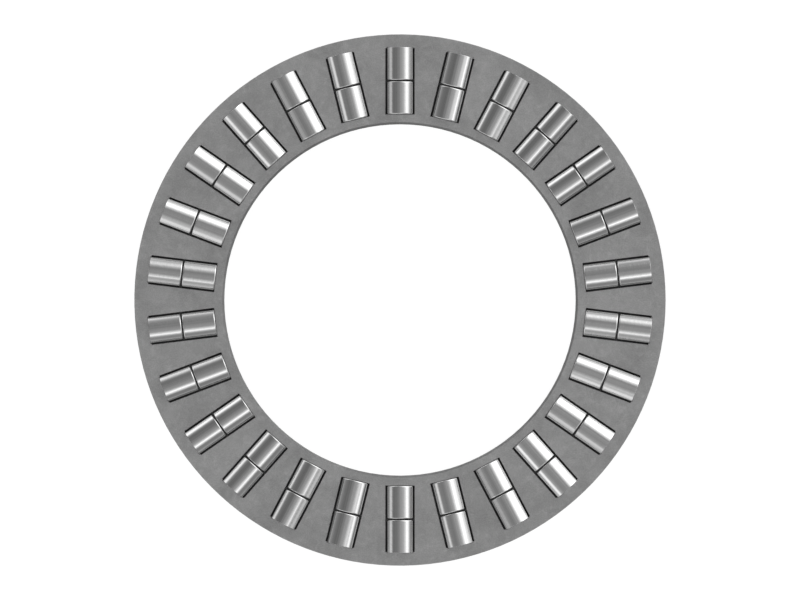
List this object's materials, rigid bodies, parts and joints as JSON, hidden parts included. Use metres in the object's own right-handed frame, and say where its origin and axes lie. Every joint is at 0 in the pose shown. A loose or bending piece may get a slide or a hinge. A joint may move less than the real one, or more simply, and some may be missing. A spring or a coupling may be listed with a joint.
{
  "type": "needle thrust bearing",
  "caption": "Flat round cage ring with radial pockets, each holding two short steel rollers in line, for carrying axial load between two flat washers.",
  "frame": {"origin": "centre of the bearing, on its axis and half way up the cage", "axes": "+Z along the bearing's axis, at right angles to the cage; +Y through the middle of pocket 1, and the pockets are numbered clockwise seen from +Z"},
  "size_m": [0.0604, 0.0604, 0.0036],
  "materials": {
    "cage_steel": "matt, tumbled sheet steel",
    "roller_steel": "ground and polished bearing steel"
  },
  "bodies": {
    "cage": {"cage": "cage_steel"},
    "inner_roller_01": {"inner_roller_01": "roller_steel"},
    "inner_roller_02": {"inner_roller_02": "roller_steel"},
    "inner_roller_03": {"inner_roller_03": "roller_steel"},
    "inner_roller_04": {"inner_roller_04": "roller_steel"},
    "inner_roller_05": {"inner_roller_05": "roller_steel"},
    "inner_roller_06": {"inner_roller_06": "roller_steel"},
    "inner_roller_07": {"inner_roller_07": "roller_steel"},
    "inner_roller_08": {"inner_roller_08": "roller_steel"},
    "inner_roller_09": {"inner_roller_09": "roller_steel"},
    "inner_roller_10": {"inner_roller_10": "roller_steel"},
    "inner_roller_11": {"inner_roller_11": "roller_steel"},
    "inner_roller_12": {"inner_roller_12": "roller_steel"},
    "inner_roller_13": {"inner_roller_13": "roller_steel"},
    "inner_roller_14": {"inner_roller_14": "roller_steel"},
    "inner_roller_15": {"inner_roller_15": "roller_steel"},
    "inner_roller_16": {"inner_roller_16": "roller_steel"},
    "inner_roller_17": {"inner_roller_17": "roller_steel"},
    "inner_roller_18": {"inner_roller_18": "roller_steel"},
    "inner_roller_19": {"inner_roller_19": "roller_steel"},
    "inner_roller_20": {"inner_roller_20": "roller_steel"},
    "inner_roller_21": {"inner_roller_21": "roller_steel"},
    "inner_roller_22": {"inner_roller_22": "roller_steel"},
    "inner_roller_23": {"inner_roller_23": "roller_steel"},
    "inner_roller_24": {"inner_roller_24": "roller_steel"},
    "inner_roller_25": {"inner_roller_25": "roller_steel"},
    "inner_roller_26": {"inner_roller_26": "roller_steel"},
    "outer_roller_01": {"outer_roller_01": "roller_steel"},
    "outer_roller_02": {"outer_roller_02": "roller_steel"},
    "outer_roller_03": {"outer_roller_03": "roller_steel"},
    "outer_roller_04": {"outer_roller_04": "roller_steel"},
    "outer_roller_05": {"outer_roller_05": "roller_steel"},
    "outer_roller_06": {"outer_roller_06": "roller_steel"},
    "outer_roller_07": {"outer_roller_07": "roller_steel"},
    "outer_roller_08": {"outer_roller_08": "roller_steel"},
    "outer_roller_09": {"outer_roller_09": "roller_steel"},
    "outer_roller_10": {"outer_roller_10": "roller_steel"},
    "outer_roller_11": {"outer_roller_11": "roller_steel"},
    "outer_roller_12": {"outer_roller_12": "roller_steel"},
    "outer_roller_13": {"outer_roller_13": "roller_steel"},
    "outer_roller_14": {"outer_roller_14": "roller_steel"},
    "outer_roller_15": {"outer_roller_15": "roller_steel"},
    "outer_roller_16": {"outer_roller_16": "roller_steel"},
    "outer_roller_17": {"outer_roller_17": "roller_steel"},
    "outer_roller_18": {"outer_roller_18": "roller_steel"},
    "outer_roller_19": {"outer_roller_19": "roller_steel"},
    "outer_roller_20": {"outer_roller_20": "roller_steel"},
    "outer_roller_21": {"outer_roller_21": "roller_steel"},
    "outer_roller_22": {"outer_roller_22": "roller_steel"},
    "outer_roller_23": {"outer_roller_23": "roller_steel"},
    "outer_roller_24": {"outer_roller_24": "roller_steel"},
    "outer_roller_25": {"outer_roller_25": "roller_steel"},
    "outer_roller_26": {"outer_roller_26": "roller_steel"}
  },
  "joints": [
    {"name": "inner_roller_01_spin", "type": "hinge", "parent": "cage", "child": "inner_roller_01", "pos_m": [0, 0.02303, 0], "axis": [0, 1, 0], "continuous": true},
    {"name": "inner_roller_02_spin", "type": "hinge", "parent": "cage", "child": "inner_roller_02", "pos_m": [0.00551, 0.02236, 0], "axis": [0.2393, 0.9709, 0], "continuous": true},
    {"name": "inner_roller_03_spin", "type": "hinge", "parent": "cage", "child": "inner_roller_03", "pos_m": [0.0107, 0.0204, 0], "axis": [0.4647, 0.8855, 0], "continuous": true},
    {"name": "inner_roller_04_spin", "type": "hinge", "parent": "cage", "child": "inner_roller_04", "pos_m": [0.01527, 0.01724, 0], "axis": [0.6631, 0.7485, 0], "continuous": true},
    {"name": "inner_roller_05_spin", "type": "hinge", "parent": "cage", "child": "inner_roller_05", "pos_m": [0.01896, 0.01308, 0], "axis": [0.823, 0.5681, 0], "continuous": true},
    {"name": "inner_roller_06_spin", "type": "hinge", "parent": "cage", "child": "inner_roller_06", "pos_m": [0.02154, 0.00817, 0], "axis": [0.935, 0.3546, 0], "continuous": true},
    {"name": "inner_roller_07_spin", "type": "hinge", "parent": "cage", "child": "inner_roller_07", "pos_m": [0.02287, 0.00278, 0], "axis": [0.9927, 0.1205, 0], "continuous": true},
    {"name": "inner_roller_08_spin", "type": "hinge", "parent": "cage", "child": "inner_roller_08", "pos_m": [0.02287, -0.00278, 0], "axis": [0.9927, -0.1205, 0], "continuous": true},
    {"name": "inner_roller_09_spin", "type": "hinge", "parent": "cage", "child": "inner_roller_09", "pos_m": [0.02154, -0.00817, 0], "axis": [0.935, -0.3546, 0], "continuous": true},
    {"name": "inner_roller_10_spin", "type": "hinge", "parent": "cage", "child": "inner_roller_10", "pos_m": [0.01896, -0.01308, 0], "axis": [0.823, -0.5681, 0], "continuous": true},
    {"name": "inner_roller_11_spin", "type": "hinge", "parent": "cage", "child": "inner_roller_11", "pos_m": [0.01527, -0.01724, 0], "axis": [0.6631, -0.7485, 0], "continuous": true},
    {"name": "inner_roller_12_spin", "type": "hinge", "parent": "cage", "child": "inner_roller_12", "pos_m": [0.0107, -0.0204, 0], "axis": [0.4647, -0.8855, 0], "continuous": true},
    {"name": "inner_roller_13_spin", "type": "hinge", "parent": "cage", "child": "inner_roller_13", "pos_m": [0.00551, -0.02236, 0], "axis": [0.2393, -0.9709, 0], "continuous": true},
    {"name": "inner_roller_14_spin", "type": "hinge", "parent": "cage", "child": "inner_roller_14", "pos_m": [0, -0.02303, 0], "axis": [0, -1, 0], "continuous": true},
    {"name": "inner_roller_15_spin", "type": "hinge", "parent": "cage", "child": "inner_roller_15", "pos_m": [-0.00551, -0.02236, 0], "axis": [-0.2393, -0.9709, 0], "continuous": true},
    {"name": "inner_roller_16_spin", "type": "hinge", "parent": "cage", "child": "inner_roller_16", "pos_m": [-0.0107, -0.0204, 0], "axis": [-0.4647, -0.8855, 0], "continuous": true},
    {"name": "inner_roller_17_spin", "type": "hinge", "parent": "cage", "child": "inner_roller_17", "pos_m": [-0.01527, -0.01724, 0], "axis": [-0.6631, -0.7485, 0], "continuous": true},
    {"name": "inner_roller_18_spin", "type": "hinge", "parent": "cage", "child": "inner_roller_18", "pos_m": [-0.01896, -0.01308, 0], "axis": [-0.823, -0.5681, 0], "continuous": true},
    {"name": "inner_roller_19_spin", "type": "hinge", "parent": "cage", "child": "inner_roller_19", "pos_m": [-0.02154, -0.00817, 0], "axis": [-0.935, -0.3546, 0], "continuous": true},
    {"name": "inner_roller_20_spin", "type": "hinge", "parent": "cage", "child": "inner_roller_20", "pos_m": [-0.02287, -0.00278, 0], "axis": [-0.9927, -0.1205, 0], "continuous": true},
    {"name": "inner_roller_21_spin", "type": "hinge", "parent": "cage", "child": "inner_roller_21", "pos_m": [-0.02287, 0.00278, 0], "axis": [-0.9927, 0.1205, 0], "continuous": true},
    {"name": "inner_roller_22_spin", "type": "hinge", "parent": "cage", "child": "inner_roller_22", "pos_m": [-0.02154, 0.00817, 0], "axis": [-0.935, 0.3546, 0], "continuous": true},
    {"name": "inner_roller_23_spin", "type": "hinge", "parent": "cage", "child": "inner_roller_23", "pos_m": [-0.01896, 0.01308, 0], "axis": [-0.823, 0.5681, 0], "continuous": true},
    {"name": "inner_roller_24_spin", "type": "hinge", "parent": "cage", "child": "inner_roller_24", "pos_m": [-0.01527, 0.01724, 0], "axis": [-0.6631, 0.7485, 0], "continuous": true},
    {"name": "inner_roller_25_spin", "type": "hinge", "parent": "cage", "child": "inner_roller_25", "pos_m": [-0.0107, 0.0204, 0], "axis": [-0.4647, 0.8855, 0], "continuous": true},
    {"name": "inner_roller_26_spin", "type": "hinge", "parent": "cage", "child": "inner_roller_26", "pos_m": [-0.00551, 0.02236, 0], "axis": [-0.2393, 0.9709, 0], "continuous": true},
    {"name": "outer_roller_01_spin", "type": "hinge", "parent": "cage", "child": "outer_roller_01", "pos_m": [0, 0.02691, 0], "axis": [0, 1, 0], "continuous": true},
    {"name": "outer_roller_02_spin", "type": "hinge", "parent": "cage", "child": "outer_roller_02", "pos_m": [0.00644, 0.02613, 0], "axis": [0.2393, 0.9709, 0], "continuous": true},
    {"name": "outer_roller_03_spin", "type": "hinge", "parent": "cage", "child": "outer_roller_03", "pos_m": [0.01251, 0.02383, 0], "axis": [0.4647, 0.8855, 0], "continuous": true},
    {"name": "outer_roller_04_spin", "type": "hinge", "parent": "cage", "child": "outer_roller_04", "pos_m": [0.01785, 0.02014, 0], "axis": [0.6631, 0.7485, 0], "continuous": true},
    {"name": "outer_roller_05_spin", "type": "hinge", "parent": "cage", "child": "outer_roller_05", "pos_m": [0.02215, 0.01529, 0], "axis": [0.823, 0.5681, 0], "continuous": true},
    {"name": "outer_roller_06_spin", "type": "hinge", "parent": "cage", "child": "outer_roller_06", "pos_m": [0.02516, 0.00954, 0], "axis": [0.935, 0.3546, 0], "continuous": true},
    {"name": "outer_roller_07_spin", "type": "hinge", "parent": "cage", "child": "outer_roller_07", "pos_m": [0.02672, 0.00324, 0], "axis": [0.9927, 0.1205, 0], "continuous": true},
    {"name": "outer_roller_08_spin", "type": "hinge", "parent": "cage", "child": "outer_roller_08", "pos_m": [0.02672, -0.00324, 0], "axis": [0.9927, -0.1205, 0], "continuous": true},
    {"name": "outer_roller_09_spin", "type": "hinge", "parent": "cage", "child": "outer_roller_09", "pos_m": [0.02516, -0.00954, 0], "axis": [0.935, -0.3546, 0], "continuous": true},
    {"name": "outer_roller_10_spin", "type": "hinge", "parent": "cage", "child": "outer_roller_10", "pos_m": [0.02215, -0.01529, 0], "axis": [0.823, -0.5681, 0], "continuous": true},
    {"name": "outer_roller_11_spin", "type": "hinge", "parent": "cage", "child": "outer_roller_11", "pos_m": [0.01785, -0.02014, 0], "axis": [0.6631, -0.7485, 0], "continuous": true},
    {"name": "outer_roller_12_spin", "type": "hinge", "parent": "cage", "child": "outer_roller_12", "pos_m": [0.01251, -0.02383, 0], "axis": [0.4647, -0.8855, 0], "continuous": true},
    {"name": "outer_roller_13_spin", "type": "hinge", "parent": "cage", "child": "outer_roller_13", "pos_m": [0.00644, -0.02613, 0], "axis": [0.2393, -0.9709, 0], "continuous": true},
    {"name": "outer_roller_14_spin", "type": "hinge", "parent": "cage", "child": "outer_roller_14", "pos_m": [0, -0.02691, 0], "axis": [0, -1, 0], "continuous": true},
    {"name": "outer_roller_15_spin", "type": "hinge", "parent": "cage", "child": "outer_roller_15", "pos_m": [-0.00644, -0.02613, 0], "axis": [-0.2393, -0.9709, 0], "continuous": true},
    {"name": "outer_roller_16_spin", "type": "hinge", "parent": "cage", "child": "outer_roller_16", "pos_m": [-0.01251, -0.02383, 0], "axis": [-0.4647, -0.8855, 0], "continuous": true},
    {"name": "outer_roller_17_spin", "type": "hinge", "parent": "cage", "child": "outer_roller_17", "pos_m": [-0.01785, -0.02014, 0], "axis": [-0.6631, -0.7485, 0], "continuous": true},
    {"name": "outer_roller_18_spin", "type": "hinge", "parent": "cage", "child": "outer_roller_18", "pos_m": [-0.02215, -0.01529, 0], "axis": [-0.823, -0.5681, 0], "continuous": true},
    {"name": "outer_roller_19_spin", "type": "hinge", "parent": "cage", "child": "outer_roller_19", "pos_m": [-0.02516, -0.00954, 0], "axis": [-0.935, -0.3546, 0], "continuous": true},
    {"name": "outer_roller_20_spin", "type": "hinge", "parent": "cage", "child": "outer_roller_20", "pos_m": [-0.02672, -0.00324, 0], "axis": [-0.9927, -0.1205, 0], "continuous": true},
    {"name": "outer_roller_21_spin", "type": "hinge", "parent": "cage", "child": "outer_roller_21", "pos_m": [-0.02672, 0.00324, 0], "axis": [-0.9927, 0.1205, 0], "continuous": true},
    {"name": "outer_roller_22_spin", "type": "hinge", "parent": "cage", "child": "outer_roller_22", "pos_m": [-0.02516, 0.00954, 0], "axis": [-0.935, 0.3546, 0], "continuous": true},
    {"name": "outer_roller_23_spin", "type": "hinge", "parent": "cage", "child": "outer_roller_23", "pos_m": [-0.02215, 0.01529, 0], "axis": [-0.823, 0.5681, 0], "continuous": true},
    {"name": "outer_roller_24_spin", "type": "hinge", "parent": "cage", "child": "outer_roller_24", "pos_m": [-0.01785, 0.02014, 0], "axis": [-0.6631, 0.7485, 0], "continuous": true},
    {"name": "outer_roller_25_spin", "type": "hinge", "parent": "cage", "child": "outer_roller_25", "pos_m": [-0.01251, 0.02383, 0], "axis": [-0.4647, 0.8855, 0], "continuous": true},
    {"name": "outer_roller_26_spin", "type": "hinge", "parent": "cage", "child": "outer_roller_26", "pos_m": [-0.00644, 0.02613, 0], "axis": [-0.2393, 0.9709, 0], "continuous": true}
  ]
}
